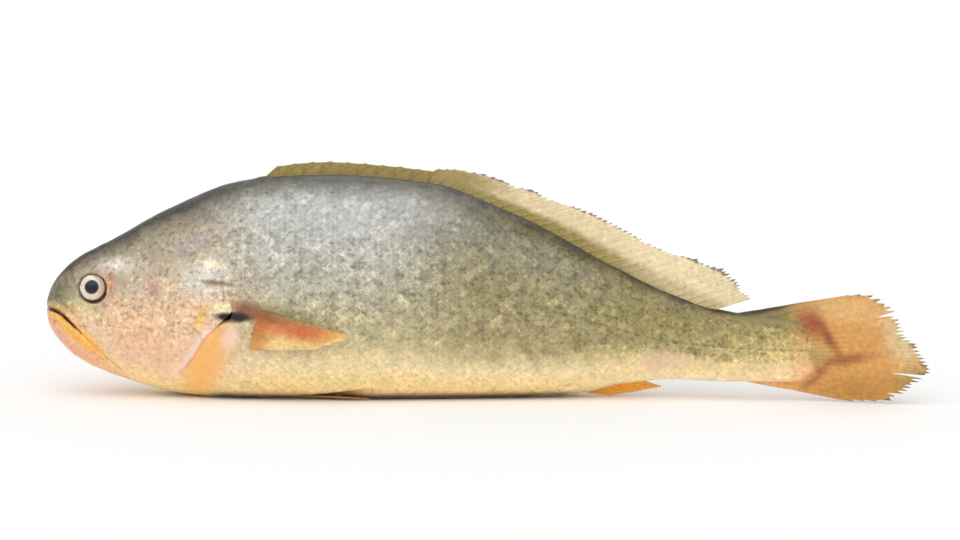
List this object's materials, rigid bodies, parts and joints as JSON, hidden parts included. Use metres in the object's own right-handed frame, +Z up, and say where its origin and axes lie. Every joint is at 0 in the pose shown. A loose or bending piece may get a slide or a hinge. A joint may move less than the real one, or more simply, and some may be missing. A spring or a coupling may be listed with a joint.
{
  "type": "whole raw fish",
  "caption": "Whole raw croaker-type fish for a fish counter or kitchen, resting upright on its belly with fins folded and tail swung gently to one side.",
  "frame": {"origin": "centre of the footprint, on the surface that the belly rests on", "axes": "+Z up; the snout points to -X and the tail to +X; the fish's left flank faces -Y"},
  "size_m": [0.3498, 0.0584, 0.0932],
  "materials": {
    "skin": "wet scaled skin",
    "jaw": "wet smooth skin",
    "gill_cover": "wet smooth skin over a thin bone plate",
    "eye": "wet clear cornea over a silver iris",
    "dorsal_fin": "damp thin web on fine rays",
    "fin": "damp thin web on fine rays"
  },
  "bodies": {
    "root": {"body": "skin", "lower_jaw": "jaw", "left_eye": "eye", "right_eye": "eye", "left_gill_cover": "gill_cover", "right_gill_cover": "gill_cover", "spiny_dorsal_fin": "dorsal_fin", "soft_dorsal_fin": "dorsal_fin", "anal_fin": "fin", "tail_fin": "fin", "left_pectoral_fin": "fin", "right_pectoral_fin": "fin", "left_pelvic_fin": "fin", "right_pelvic_fin": "fin"}
  },
  "joints": []
}
